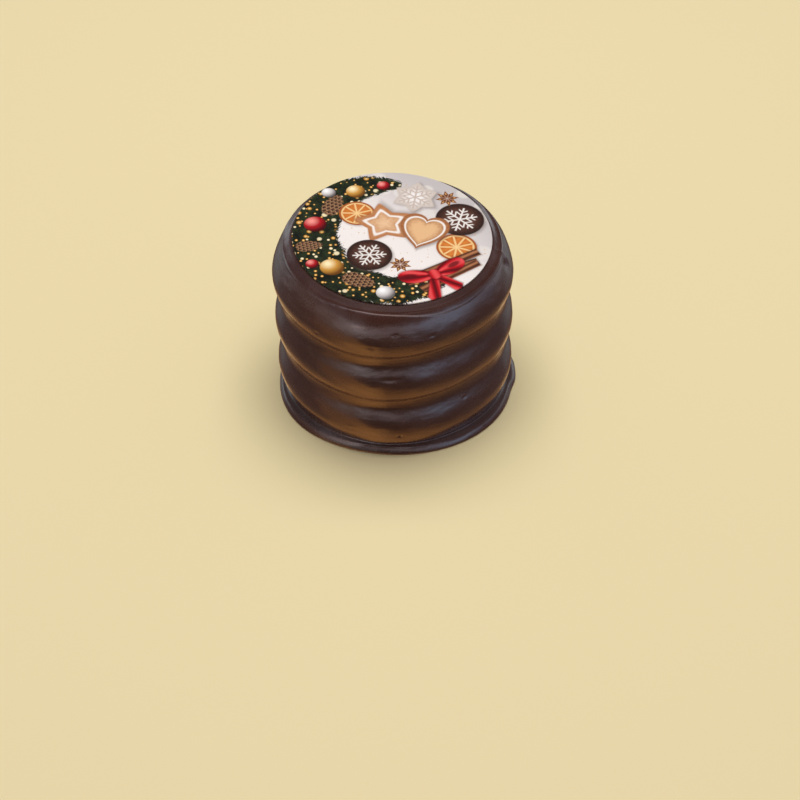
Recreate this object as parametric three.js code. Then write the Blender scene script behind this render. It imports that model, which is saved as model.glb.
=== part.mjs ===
// A baumkuchen: a round layer cake of three bulging rings under a dark chocolate coating, with a pooled
// chocolate foot and a thin printed sugar disc on its flat top. It is whole, so it is solid inside.
// Millimetres, +Z up. The origin is the middle of the footprint, on the surface that the cake stands on.
// The front of the cake faces -Y.

import * as THREE from "three";
import { mergeVertices } from "three/addons/utils/BufferGeometryUtils.js";

// Rings: each bulges out of a plain core in a round arc, and the core shows softly in the grooves.
const CORE_RADIUS = 56.9;
const RING_COUNT = 3;
const RING_RADIUS = 60;
const RING_PITCH = 27.75;
const FIRST_RING_HEIGHT = 18.5;
const BULGE_RADIUS = 17;
const GROOVE_SOFTNESS = 3.3;
const TOP_RING_HEIGHT = FIRST_RING_HEIGHT + (RING_COUNT - 1) * RING_PITCH;

// Foot: the coating that ran down and set round the base, in a half-round lip on the core.
const FOOT_HEIGHT = 2;
const FOOT_LIP = 3.5;
const BASE_RADIUS = 59;

// Shoulder and top: the coating ends in a soft rim, with a shallow crease inside it.
const RIM_RADIUS = 53.7;
const RIM_HEIGHT = 89.7;
const SHOULDER_RISE_POWER = 1.43;
const SHOULDER_INSET_POWER = 1.65;
const CREASE_RADIUS = 52.2;
const CREASE_HEIGHT = 90.1;
const FLAT_RADIUS = 49.8;
const TOP_HEIGHT = 92.3;
const SLOPE_MARGIN = 8;

// Sugar disc.
const DISC_RADIUS = 49.2;
const DISC_THICKNESS = 0.8;
const DISC_GAP = 0.3;
const DISC_EDGE_ROUND = 0.25;

// Unevenness of a cake that was baked and coated by hand.
const LEAN = -0.021;
const TOP_SLOPE_X = -0.028;
const TOP_SLOPE_Y = 0.0445;
const SWELLS = [
  { depth: 0.14, lobes: 1, phase: 4.08, twist: 0.0054 },
  { depth: 0.84, lobes: 2, phase: 0.26, twist: -0.0028 },
  { depth: 0.61, lobes: 3, phase: -0.49, twist: 0.0121 },
  { depth: 0.33, lobes: 4, phase: 3.42, twist: -0.0036 },
  { depth: 0.47, lobes: 5, phase: 2.81, twist: 0.0127 },
];
const FOOT_WAVES = [
  { depth: 0.26, lobes: 1, phase: 0.58, twist: 0 },
  { depth: 1.22, lobes: 2, phase: 1.84, twist: 0 },
  { depth: 1.15, lobes: 4, phase: 5.01, twist: 0 },
];
const DRIP = { azimuth: 0.06, spread: 0.2, depth: 2.2, height: 2.4 };

// Facets.
const AZIMUTH_STEPS = 72;
const FOOT_STEPS = 6;
const STEPS_PER_RING = 12;
const SHOULDER_STEPS = 8;
const DISC_EDGE_STEPS = 3;

/** The larger of two radii, with a rounded valley where they are closer than softness. */
function softMaximum(first, second, softness) {
  const closeness = Math.max(softness - Math.abs(first - second), 0) / softness;
  return Math.max(first, second) + (closeness * closeness * softness) / 4;
}

/** How far a half-round form stands out, at an offset from its middle. */
function halfRound(offset, radius) {
  return Math.sqrt(Math.max(radius * radius - offset * offset, 0));
}

/** Radius of the side of the cake at a height, from the foot up to the widest level of the top ring. */
function sideRadius(height) {
  const nearest = Math.round((height - FIRST_RING_HEIGHT) / RING_PITCH);
  const ring = THREE.MathUtils.clamp(nearest, 0, RING_COUNT - 1);
  const middle = FIRST_RING_HEIGHT + ring * RING_PITCH;
  const bulge = RING_RADIUS - BULGE_RADIUS + halfRound(height - middle, BULGE_RADIUS);
  const core = CORE_RADIUS + halfRound(height - FOOT_HEIGHT, FOOT_LIP);
  return softMaximum(bulge, core, GROOVE_SOFTNESS);
}

/** Heights that split a span evenly, without its last end. */
function levels(low, high, count) {
  return Array.from({ length: count }, (_, step) => low + ((high - low) * step) / count);
}

/** Outline of the cake from the middle of its base, up its side, to the middle of its top. */
function cakeOutline() {
  const outline = [new THREE.Vector2(0, 0), new THREE.Vector2(BASE_RADIUS, 0)];
  const footTop = FOOT_HEIGHT + FOOT_LIP;
  const sideSteps = Math.round(((TOP_RING_HEIGHT - footTop) / RING_PITCH) * STEPS_PER_RING);
  const heights = [
    ...levels(FOOT_HEIGHT / 2, footTop, FOOT_STEPS),
    ...levels(footTop, TOP_RING_HEIGHT, sideSteps),
  ];
  for (const height of heights) {
    outline.push(new THREE.Vector2(sideRadius(height), height));
  }
  const widest = sideRadius(TOP_RING_HEIGHT);
  for (let step = 0; step <= SHOULDER_STEPS; step += 1) {
    const turn = (step / SHOULDER_STEPS) * (Math.PI / 2);
    const inset = Math.cos(turn) ** SHOULDER_INSET_POWER;
    const rise = Math.sin(turn) ** SHOULDER_RISE_POWER;
    const radius = RIM_RADIUS + (widest - RIM_RADIUS) * inset;
    outline.push(new THREE.Vector2(radius, TOP_RING_HEIGHT + (RIM_HEIGHT - TOP_RING_HEIGHT) * rise));
  }
  outline.push(new THREE.Vector2(CREASE_RADIUS, CREASE_HEIGHT));
  outline.push(new THREE.Vector2(FLAT_RADIUS, TOP_HEIGHT));
  outline.push(new THREE.Vector2(0, TOP_HEIGHT));
  return outline;
}

/** Outline of the sugar disc, with its edge rounded, above a height. */
function discOutline(bottom) {
  const outline = [new THREE.Vector2(0, bottom)];
  const inner = DISC_RADIUS - DISC_EDGE_ROUND;
  const corners = [bottom + DISC_EDGE_ROUND, bottom + DISC_THICKNESS - DISC_EDGE_ROUND];
  corners.forEach((middle, corner) => {
    for (let step = 0; step <= DISC_EDGE_STEPS; step += 1) {
      const turn = (corner - 1 + step / DISC_EDGE_STEPS) * (Math.PI / 2);
      const radius = inner + DISC_EDGE_ROUND * Math.cos(turn);
      outline.push(new THREE.Vector2(radius, middle + DISC_EDGE_ROUND * Math.sin(turn)));
    }
  });
  outline.push(new THREE.Vector2(0, bottom + DISC_THICKNESS));
  return outline;
}

/** A closed turned body about +Z, with one vertex at each place. */
function turned(outline) {
  const lathe = new THREE.LatheGeometry(outline, AZIMUTH_STEPS);
  lathe.rotateX(Math.PI / 2);
  lathe.deleteAttribute("normal");
  lathe.deleteAttribute("uv");
  return mergeVertices(lathe, 1e-3);
}

/** Sum of waves round the cake, at an azimuth and a height. */
function waves(list, azimuth, height) {
  let sum = 0;
  for (const { depth, lobes, phase, twist } of list) {
    sum += depth * Math.sin(lobes * azimuth + phase + twist * height);
  }
  return sum;
}

/** How far the coating stands out of the turned form: swells all over, waves and a drip at the foot. */
function swelling(azimuth, height) {
  const footShare = Math.exp(-(((height - FOOT_HEIGHT) / FOOT_LIP) ** 2));
  const dripShare = Math.exp(-(((azimuth - DRIP.azimuth) / DRIP.spread) ** 4));
  const drip = DRIP.depth * dripShare * Math.exp(-(((height - DRIP.height) / FOOT_LIP) ** 2));
  return waves(SWELLS, azimuth, height) + footShare * waves(FOOT_WAVES, azimuth, height) + drip;
}

/** Height added by the sloping top: all of it on the flat, and less and less down the shoulder. */
function topSlope(x, y, height) {
  if (height < TOP_RING_HEIGHT) return 0;
  const outside = THREE.MathUtils.smoothstep(Math.hypot(x, y), FLAT_RADIUS, FLAT_RADIUS + SLOPE_MARGIN);
  return (1 - outside) * (TOP_SLOPE_X * x + TOP_SLOPE_Y * y);
}

/** Makes a turned cake uneven: its coating swells, it leans, and its top slopes. */
function makeUneven(geometry) {
  const position = geometry.getAttribute("position");
  for (let index = 0; index < position.count; index += 1) {
    const x = position.getX(index);
    const y = position.getY(index);
    const height = position.getZ(index);
    const radius = Math.hypot(x, y);
    const share = THREE.MathUtils.smoothstep(radius, DISC_RADIUS, BASE_RADIUS);
    const stretch = radius > 0 ? 1 + (share * swelling(Math.atan2(y, x), height)) / radius : 1;
    const uneven = new THREE.Vector2(x, y).multiplyScalar(stretch);
    const slope = topSlope(uneven.x, uneven.y, height);
    position.setXYZ(index, uneven.x + LEAN * height, uneven.y, height + slope);
  }
  return geometry;
}

/** Lays a turned disc on the sloping top. */
function layOnTop(geometry) {
  const position = geometry.getAttribute("position");
  for (let index = 0; index < position.count; index += 1) {
    const x = position.getX(index);
    const y = position.getY(index);
    const height = position.getZ(index);
    position.setXYZ(index, x + LEAN * TOP_HEIGHT, y, height + topSlope(x, y, height));
  }
  return geometry;
}

/** A named piece with its own material. */
function piece(name, geometry, colour, roughness) {
  geometry.computeVertexNormals();
  const material = new THREE.MeshStandardMaterial({ color: colour, roughness, metalness: 0 });
  const mesh = new THREE.Mesh(geometry, material);
  mesh.name = name;
  return mesh;
}

const cake = piece("cake", makeUneven(turned(cakeOutline())), 0x3c2623, 0.32);
const sugarDisc = piece("sugar_disc", layOnTop(turned(discOutline(TOP_HEIGHT + DISC_GAP))), 0xebe4e0, 0.5);

// The footprint's middle goes to the origin.
const baumkuchen = new THREE.Group();
baumkuchen.add(cake, sugarDisc);
const middle = new THREE.Box3().setFromObject(baumkuchen).getCenter(new THREE.Vector3());
baumkuchen.position.set(-middle.x, -middle.y, 0);

export default baumkuchen;
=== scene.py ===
"""A baumkuchen: three bulging rings under dark chocolate, with a round printed sugar disc on top.

Metres, +Z up, the front of the cake towards -Y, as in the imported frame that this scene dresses.
"""

import logging
import math
from dataclasses import dataclass
from enum import Enum
from functools import partial, reduce
from typing import Protocol

import bpy
import numpy as np
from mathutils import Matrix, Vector


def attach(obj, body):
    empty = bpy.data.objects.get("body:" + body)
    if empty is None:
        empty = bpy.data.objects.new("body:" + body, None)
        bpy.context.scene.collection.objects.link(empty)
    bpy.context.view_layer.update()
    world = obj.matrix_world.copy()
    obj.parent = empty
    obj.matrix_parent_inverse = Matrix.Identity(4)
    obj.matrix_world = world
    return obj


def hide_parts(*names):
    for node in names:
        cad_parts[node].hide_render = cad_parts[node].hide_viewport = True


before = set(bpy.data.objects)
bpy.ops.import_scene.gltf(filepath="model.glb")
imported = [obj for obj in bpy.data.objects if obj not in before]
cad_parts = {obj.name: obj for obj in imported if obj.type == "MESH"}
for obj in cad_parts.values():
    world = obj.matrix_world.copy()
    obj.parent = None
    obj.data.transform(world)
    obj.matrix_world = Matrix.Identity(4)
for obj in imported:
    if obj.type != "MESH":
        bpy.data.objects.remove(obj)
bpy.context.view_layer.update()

LOG = logging.getLogger("baumkuchen")
MM = 0.001
TINY = 1e-6
BODY = "root"
Limits = tuple[float, float]


class Slot(Enum):
    """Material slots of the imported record."""

    CHOCOLATE = "chocolate"
    SUGAR = "printed_sugar"


def srgb(red: float, green: float, blue: float) -> tuple[float, float, float, float]:
    """Turns a colour as seen on a screen into the linear colour that a shader wants.

    Args:
        red: Red from 0 to 255.
        green: Green from 0 to 255.
        blue: Blue from 0 to 255.

    Returns:
        Linear red, green and blue, and an alpha of 1.
    """
    shares = (channel / 255 for channel in (red, green, blue))
    linear = (s / 12.92 if s <= 0.04045 else ((s + 0.055) / 1.055) ** 2.4 for s in shares)
    return (*linear, 1.0)


# ---------------------------------------------------------------------------------------------------
# Node trees written as Python expressions.


class Value:
    """One output socket of a node tree, which Python's operators reckon with."""

    def __init__(self, graph: "Graph", socket: bpy.types.NodeSocket) -> None:
        """Keeps the socket and the graph that makes its nodes."""
        self.graph = graph
        self.socket = socket

    def __add__(self, other: "Amount") -> "Value":
        """This value plus another."""
        return self.graph.math("ADD", self, other)

    __radd__ = __add__

    def __sub__(self, other: "Amount") -> "Value":
        """This value less another."""
        return self.graph.math("SUBTRACT", self, other)

    def __rsub__(self, other: "Amount") -> "Value":
        """Another value less this one."""
        return self.graph.math("SUBTRACT", other, self)

    def __mul__(self, other: "Amount") -> "Value":
        """This value times another."""
        return self.graph.math("MULTIPLY", self, other)

    __rmul__ = __mul__

    def __truediv__(self, other: "Amount") -> "Value":
        """This value over another."""
        return self.graph.math("DIVIDE", self, other)

    def __neg__(self) -> "Value":
        """This value with its sign turned."""
        return self.graph.math("SUBTRACT", 0.0, self)

    def __abs__(self) -> "Value":
        """This value without its sign."""
        return self.graph.math("ABSOLUTE", self)

    def __pow__(self, other: "Amount") -> "Value":
        """This value to a power."""
        return self.graph.math("POWER", self, other)

    def __gt__(self, other: "Amount") -> "Value":
        """1 where this value is greater, else 0."""
        return self.graph.math("GREATER_THAN", self, other)

    def other(self, name: str) -> "Value":
        """Another output of the same node."""
        return Value(self.graph, Graph.find(self.socket.node.outputs, name))


Amount = Value | float
Ink = Value | tuple


class Graph:
    """Makes and links the nodes of one shader or geometry tree."""

    def __init__(self, tree: bpy.types.NodeTree) -> None:
        """Keeps the tree that the nodes go into."""
        self.tree = tree

    @staticmethod
    def find(sockets: bpy.types.bpy_prop_collection, key: str | int) -> bpy.types.NodeSocket:
        """Finds a socket.

        Args:
            sockets: The inputs or outputs of a node.
            key: A place in the list, or a name, of which the first socket in use is taken.

        Returns:
            The socket.
        """
        if isinstance(key, int):
            return sockets[key]
        return next(socket for socket in sockets if socket.name == key and socket.enabled)

    def node(
        self,
        kind: str,
        settings: dict[str, object] | None = None,
        sockets: dict[str | int, object] | None = None,
        output: str | int = 0,
    ) -> Value:
        """Makes a node of any type.

        Args:
            kind: The node's type.
            settings: The node's own settings. "stops" holds a ramp's places and colours.
            sockets: A value or a constant for each input that isn't left alone.
            output: Which output is wanted.

        Returns:
            The wanted output.
        """
        made = self.tree.nodes.new(kind)
        for name, setting in (settings or {}).items():
            if name == "stops":
                self.set_stops(made.color_ramp, setting)
            else:
                setattr(made, name, setting)
        self.feed(made, sockets or {})
        return Value(self, self.find(made.outputs, output))

    def feed(self, node: bpy.types.Node, sockets: dict[str | int, object]) -> None:
        """Links values to inputs of a node, and sets those that are constant.

        Args:
            node: The node.
            sockets: A value or a constant for each input that isn't left alone.
        """
        for key, value in sockets.items():
            socket = self.find(node.inputs, key)
            if isinstance(value, Value):
                self.tree.links.new(value.socket, socket)
            else:
                socket.default_value = value

    @staticmethod
    def set_stops(ramp: bpy.types.ColorRamp, stops: list[tuple[float, tuple]]) -> None:
        """Gives a colour ramp its stops.

        Args:
            ramp: The ramp, with the two stops that a new one has.
            stops: The place and the colour of each stop, from 0 to 1.
        """
        while len(ramp.elements) < len(stops):
            ramp.elements.new(1.0)
        for element, (place, colour) in zip(ramp.elements, stops):
            element.position, element.color = place, colour

    def math(self, operation: str, *values: Amount) -> Value:
        """A Math node on values and numbers."""
        return self.node("ShaderNodeMath", {"operation": operation}, dict(enumerate(values)))

    def vector(self, x: Amount, y: Amount, z: Amount) -> Value:
        """A vector of three values."""
        return self.node("ShaderNodeCombineXYZ", sockets={0: x, 1: y, 2: z})

    def parts(self, vector: Value) -> tuple[Value, Value, Value]:
        """The three values of a vector."""
        made = self.node("ShaderNodeSeparateXYZ", sockets={0: vector})
        return made, made.other("Y"), made.other("Z")

    def sine(self, turn: Value) -> Value:
        """The sine of an angle."""
        return self.math("SINE", turn)

    def cosine(self, turn: Value) -> Value:
        """The cosine of an angle."""
        return self.math("COSINE", turn)

    def root(self, value: Value) -> Value:
        """The square root of a value."""
        return self.math("SQRT", value)

    def reach(self, x: Value, y: Value) -> Value:
        """Distance from the middle that two coordinates are measured from."""
        return self.root(x * x + y * y)

    def most(self, *values: Amount) -> Value:
        """The largest of some values, which cuts outlines against each other."""
        return reduce(partial(self.math, "MAXIMUM"), values)

    def least(self, *values: Amount) -> Value:
        """The smallest of some values, which joins outlines."""
        return reduce(partial(self.math, "MINIMUM"), values)

    def smooth(self, value: Value, low: Amount, high: Amount) -> Value:
        """Rises smoothly from 0 at low to 1 at high."""
        settings = {"interpolation_type": "SMOOTHSTEP"}
        return self.node("ShaderNodeMapRange", settings, {0: value, 1: low, 2: high})

    def clamp(self, value: Value) -> Value:
        """Keeps a value from 0 to 1."""
        return self.node("ShaderNodeMath", {"operation": "ADD", "use_clamp": True}, {0: value, 1: 0.0})

    def bell(self, value: Value, width: Amount) -> Value:
        """1 where the value is 0, and falling to nothing over a few widths."""
        share = value / width
        return self.math("EXPONENT", -(share * share))

    def mix(self, share: Amount, first: Ink, second: Ink) -> Value:
        """A colour that goes from the first to the second as the share goes from 0 to 1."""
        sockets = {"Factor": share, 6: first, 7: second}
        return self.node("ShaderNodeMix", {"data_type": "RGBA"}, sockets, 2)

    def ramp(self, value: Value, *stops: tuple[float, tuple]) -> Value:
        """A colour read off a row of stops."""
        return self.node("ShaderNodeValToRGB", {"stops": list(stops)}, {0: value})

    def noise(self, place: Value, size: float, detail: float, roughness: float = 0.5) -> Value:
        """Soft random values from about -1 to 1.

        Args:
            place: Where the noise is read.
            size: How far apart its bumps are, in metres.
            detail: How many finer layers it has.
            roughness: How strong the finer layers are.

        Returns:
            The noise, about 0 in the middle.
        """
        sockets = {"Vector": place, "Scale": 1 / size, "Detail": detail, "Roughness": roughness}
        return self.node("ShaderNodeTexNoise", {}, sockets) * 2.0 - 1.0

    def stretched(self, place: Value, x: float, y: float, z: float) -> Value:
        """A place with each coordinate multiplied, which draws a pattern out or squeezes it."""
        sockets = {0: place, 1: (x, y, z)}
        return self.node("ShaderNodeVectorMath", {"operation": "MULTIPLY"}, sockets)

    def bump(self, height: Value, strength: float, depth: float) -> Value:
        """A normal that is tilted by a height, of which 1 stands for the depth."""
        sockets = {"Strength": strength, "Distance": depth, "Height": height}
        return self.node("ShaderNodeBump", {}, sockets, "Normal")


class GeometryRule(Graph):
    """A Geometry Nodes tree with named inputs, whose result becomes a plain mesh."""

    def __init__(self, name: str) -> None:
        """Starts a tree that has no inputs yet.

        Args:
            name: The tree's name.
        """
        super().__init__(bpy.data.node_groups.new(name, "GeometryNodeTree"))
        self.tree.interface.new_socket("Geometry", in_out="OUTPUT", socket_type="NodeSocketGeometry")
        self.entry = self.tree.nodes.new("NodeGroupInput")
        self.inputs: dict[str, float] = {}

    def _input(self, name: str, value: float, kind: str) -> Value:
        """Adds a named input to the tree.

        Args:
            name: Its name.
            value: What the modifier gives it.
            kind: The type of its socket.

        Returns:
            The input, to reckon with.
        """
        item = self.tree.interface.new_socket(name, in_out="INPUT", socket_type=kind)
        self.inputs[item.identifier] = value
        return Value(self, self.entry.outputs[name])

    def size(self, name: str, value: float) -> Value:
        """A named size."""
        return self._input(name, value, "NodeSocketFloat")

    def count(self, name: str, value: int) -> Value:
        """A named whole number."""
        return self._input(name, value, "NodeSocketInt")

    def where(self, condition: Value, yes: Amount, no: Amount) -> Value:
        """One value where a condition holds, and another where it doesn't."""
        sockets = {"Switch": condition, "True": yes, "False": no}
        return self.node("GeometryNodeSwitch", {"input_type": "FLOAT"}, sockets)

    def store(self, geometry: Value, name: str, value: Value) -> Value:
        """Keeps a value on each point, under a name that a finish reads."""
        sockets = {"Geometry": geometry, "Name": name, "Value": value}
        return self.node("GeometryNodeStoreNamedAttribute", {"domain": "POINT"}, sockets)

    def mesh(self, geometry: Value, material: bpy.types.Material) -> bpy.types.Mesh:
        """Ends the tree and runs it.

        Args:
            geometry: What the tree has made.
            material: The finish of all of it.

        Returns:
            A plain mesh, with the material in it.
        """
        real = self.node("GeometryNodeRealizeInstances", sockets={"Geometry": geometry})
        dressed = self.node("GeometryNodeSetMaterial", {}, {"Geometry": real, "Material": material})
        self.tree.links.new(dressed.socket, self.tree.nodes.new("NodeGroupOutput").inputs[0])
        carrier = bpy.data.objects.new(self.tree.name, bpy.data.meshes.new(self.tree.name))
        bpy.context.scene.collection.objects.link(carrier)
        modifier = carrier.modifiers.new("rule", "NODES")
        modifier.node_group = self.tree
        for identifier, value in self.inputs.items():
            modifier[identifier] = value
        graph = bpy.context.evaluated_depsgraph_get()
        mesh = bpy.data.meshes.new_from_object(
            carrier.evaluated_get(graph), preserve_all_data_layers=True, depsgraph=graph
        )
        bpy.data.objects.remove(carrier)
        return mesh


def add_piece(name: str, mesh: bpy.types.Mesh, slot: Slot, *nodes: str) -> bpy.types.Object:
    """Adds a finished mesh to the scene as a piece of the cake.

    Args:
        name: The piece's name.
        mesh: Its mesh, in place, with its materials.
        slot: The record's slot of its finish; not used.
        nodes: The CAD nodes that it stands for.

    Returns:
        The piece.
    """
    piece = bpy.data.objects.new(name, mesh)
    bpy.context.scene.collection.objects.link(piece)
    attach(piece, BODY)
    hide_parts(*nodes)
    LOG.info("%s: %d faces", name, len(mesh.polygons))
    return piece


# ---------------------------------------------------------------------------------------------------
# Finishes.


def new_material(name: str) -> tuple[bpy.types.Material, bpy.types.Node]:
    """Makes a material.

    Args:
        name: Its name.

    Returns:
        The material and its main shader.
    """
    made = bpy.data.materials.new(name)
    made.use_nodes = True
    return made, made.node_tree.nodes["Principled BSDF"]


@dataclass(frozen=True)
class Chocolate:
    """Satin dark chocolate that was poured and set by hand, with a thin greyish bloom in places, and
    painted sheen and highlights in pale grey.
    """

    dark: tuple = srgb(53, 31, 28)
    # Greyish bloom, which in some patches also stands in for painted sheen and highlights.
    warm: tuple = srgb(74, 42, 31)
    # Pale grey for painted highlights: the line along the rim's ledge and the brightest patches.
    bloom_and_sheen: tuple = srgb(104, 94, 98)
    edge: tuple = srgb(156, 134, 130)
    bloom_and_sheen_cover: float = 0.6
    painted_highlight_cover: float = 0.7
    painted_highlight_limits: Limits = (1.5, 3.0)
    least_haze: float = 0.12
    roughness: float = 0.25
    coat: float = 0.4
    coat_roughness: float = 0.12
    streak_size: float = 14 * MM
    streak_flatness: float = 3.2
    cloud_size: float = 22 * MM
    ripple_size: float = 3.2 * MM
    grain_size: float = 1.1 * MM
    bump_strength: float = 0.35
    bump_depth: float = 0.25 * MM

    def material(self) -> bpy.types.Material:
        """Builds the material.

        Returns:
            The material, which reads from the mesh how much greyish bloom and painted highlight a place
            gets.
        """
        made, shader = new_material("dark_chocolate")
        graph = Graph(made.node_tree)
        place = graph.node("ShaderNodeTexCoord", output="Object")
        streaks = graph.noise(graph.stretched(place, 1, 1, self.streak_flatness), self.streak_size, 4)
        clouds = graph.noise(place, self.cloud_size, 3)
        ripples = graph.noise(place, self.ripple_size, 3)
        grain = graph.noise(place, self.grain_size, 3, 0.6)
        warmth = graph.clamp(0.4 + 0.45 * clouds + 0.25 * streaks)
        brown = graph.mix(warmth, self.dark, self.warm)
        haze_and_highlight = graph.node("ShaderNodeAttribute", {"attribute_name": "haze_and_highlight"}, output="Fac")
        uneven = graph.smooth(streaks + 0.4 * grain, -0.25, 0.7)
        haze_and_highlight_share = graph.clamp((haze_and_highlight + self.least_haze) * uneven)
        # Greyish bloom, and painted sheen and highlights where the mesh asks for more.
        colour = graph.mix(haze_and_highlight_share * self.bloom_and_sheen_cover, brown, self.bloom_and_sheen)
        # Painted highlight in pale grey where the mesh asks for the most: the ledge line and two bright
        # patches.
        colour = graph.mix(graph.smooth(haze_and_highlight, *self.painted_highlight_limits) * self.painted_highlight_cover, colour, self.edge)
        roughness = self.roughness + 0.07 * clouds + 0.05 * streaks + 0.03 * grain + 0.12 * haze_and_highlight_share
        relief = ripples * 0.6 + grain * 0.18 + streaks * 0.8
        inputs = {
            "Base Color": colour,
            "Roughness": roughness,
            "Normal": graph.bump(relief, self.bump_strength, self.bump_depth),
            "Coat Weight": self.coat,
            "Coat Roughness": self.coat_roughness,
        }
        graph.feed(shader, inputs)
        return made


# ---------------------------------------------------------------------------------------------------
# The print on the sugar disc: a fir garland with biscuits and spices, painted motif over motif.


@dataclass(frozen=True)
class Spot:
    """Where a printed motif lies from the disc's middle, how large it is, and its turn in degrees."""

    x: float
    y: float
    size: float = 1.0
    turn: float = 0.0


class Motif(Protocol):
    """Anything that can be painted on the disc."""

    def paint(self, drawing: "Drawing") -> None:
        """Paints itself over what has been painted so far."""


class Drawing(Graph):
    """Paints flat motifs over each other, in millimetres on the level disc."""

    SHADOW = srgb(96, 76, 66)

    def __init__(self, tree: bpy.types.NodeTree, x: Value, y: Value, colour: Ink) -> None:
        """Settles what is painted on.

        Args:
            tree: The tree that the nodes go into.
            x: Millimetres to the right of the disc's middle.
            y: Millimetres behind the disc's middle.
            colour: What is painted over.
        """
        super().__init__(tree)
        self.x, self.y = x, y
        self.place = self.vector(x, y, 0.0)
        self.colour = colour

    def add(self, motif: Motif) -> None:
        """Paints a motif in a node group of its own, which keeps the material's tree small.

        Args:
            motif: The motif.
        """
        group = bpy.data.node_groups.new(type(motif).__name__, "ShaderNodeTree")
        for name, kind in (("X", "Float"), ("Y", "Float"), ("Under", "Color")):
            group.interface.new_socket(name, in_out="INPUT", socket_type=f"NodeSocket{kind}")
        group.interface.new_socket("Over", in_out="OUTPUT", socket_type="NodeSocketColor")
        entry, graph = group.nodes.new("NodeGroupInput"), Graph(group)
        inner = Drawing(group, *(Value(graph, entry.outputs[name]) for name in ("X", "Y", "Under")))
        motif.paint(inner)
        group.links.new(inner.colour.socket, group.nodes.new("NodeGroupOutput").inputs[0])
        sockets = {"X": self.x, "Y": self.y, "Under": self.colour}
        self.colour = self.node("ShaderNodeGroup", {"node_tree": group}, sockets)

    def at(self, spot: Spot) -> tuple[Value, Value]:
        """Goes over to a motif's own frame, where its rim is about 1 from its middle.

        Args:
            spot: Where the motif lies.

        Returns:
            The coordinates in that frame.
        """
        turn = math.radians(spot.turn)
        across, along = math.cos(turn) / spot.size, math.sin(turn) / spot.size
        x, y = self.x - spot.x, self.y - spot.y
        return x * across + y * along, y * across - x * along

    def fold(self, x: Value, y: Value, arms: int) -> tuple[Value, Value]:
        """Folds the arms of a star over each other, spread evenly from the first along x.

        Args:
            x: A coordinate in the motif's own frame.
            y: The other one.
            arms: How many arms there are.

        Returns:
            The distances along and beside the nearest arm.
        """
        sector = 2 * math.pi / arms
        turn = self.math("ARCTAN2", y, x)
        near = turn - self.math("ROUND", turn / sector) * sector
        away = self.reach(x, y)
        return away * self.cosine(near), away * abs(self.sine(near))

    def inside(self, edge: Value, blur: float) -> Value:
        """1 where a distance past an outline is below 0, and 0 outside it, with a soft edge."""
        return 1.0 - self.smooth(edge, -blur, blur)

    def paint(self, ink: Ink, share: Amount) -> None:
        """Lays an ink over what has been painted so far."""
        self.colour = self.mix(share, self.colour, ink)

    def shadow(self, edge: Value, share: float) -> None:
        """Lays a soft shadow within an outline."""
        self.paint(self.SHADOW, self.inside(edge, 0.14) * share)

    def cells(self, size: float, offset: float) -> tuple[Value, Value, Value, Value]:
        """Random spots, one in each cell of a size.

        Args:
            size: How far apart the spots are, in millimetres.
            offset: A shift that gives another set of spots.

        Returns:
            The distance from the nearest spot in millimetres, and three random numbers of that spot.
        """
        place = self.vector(self.x + offset, self.y - offset, 0.0)
        sockets = {"Vector": place, "Scale": 1 / size}
        spots = self.node("ShaderNodeTexVoronoi", {"voronoi_dimensions": "2D"}, sockets, "Distance")
        return spots * size, *self.parts(spots.other("Color"))


@dataclass(frozen=True)
class Ground:
    """The pale ground, greyer on one side, with faint warm rounds of light out of focus.

    The rounds are given by their distance, their radius and a shift.
    """

    light: tuple = srgb(243, 235, 229)
    shade: tuple = srgb(196, 189, 187)
    glow: tuple = srgb(255, 247, 232)
    fleck: tuple = srgb(214, 176, 112)
    cloud_size: float = 34.0
    cloud_reach: float = 12.0
    shading: Limits = (-8.0, 62.0)
    rounds: tuple[tuple[float, float, float], ...] = ((13, 3.6, 3.0), (17, 5.0, 40.0))
    rounds_missing: float = 0.45
    fleck_cell: float = 3.4
    fleck_radius: float = 0.42
    flecks_missing: float = 0.55

    def paint(self, drawing: Drawing) -> None:
        """Paints the ground.

        Args:
            drawing: What it is painted on.
        """
        clouds = drawing.noise(drawing.place, self.cloud_size, 1) * self.cloud_reach
        share = drawing.smooth(drawing.x * 0.8 + drawing.y + clouds, *self.shading)
        drawing.paint(drawing.mix(share, self.light, self.shade), 1.0)
        for size, radius, offset in self.rounds:
            away, chance, _, _ = drawing.cells(size, offset)
            glowing = drawing.inside(away - radius, 0.9) * (chance > self.rounds_missing)
            drawing.paint(self.glow, glowing * share * 0.4)
        away, chance, level, _ = drawing.cells(self.fleck_cell, 9.0)
        fleck = drawing.inside(away - level * self.fleck_radius, 0.12)
        drawing.paint(self.fleck, fleck * (chance > self.flecks_missing) * 0.8)


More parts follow.
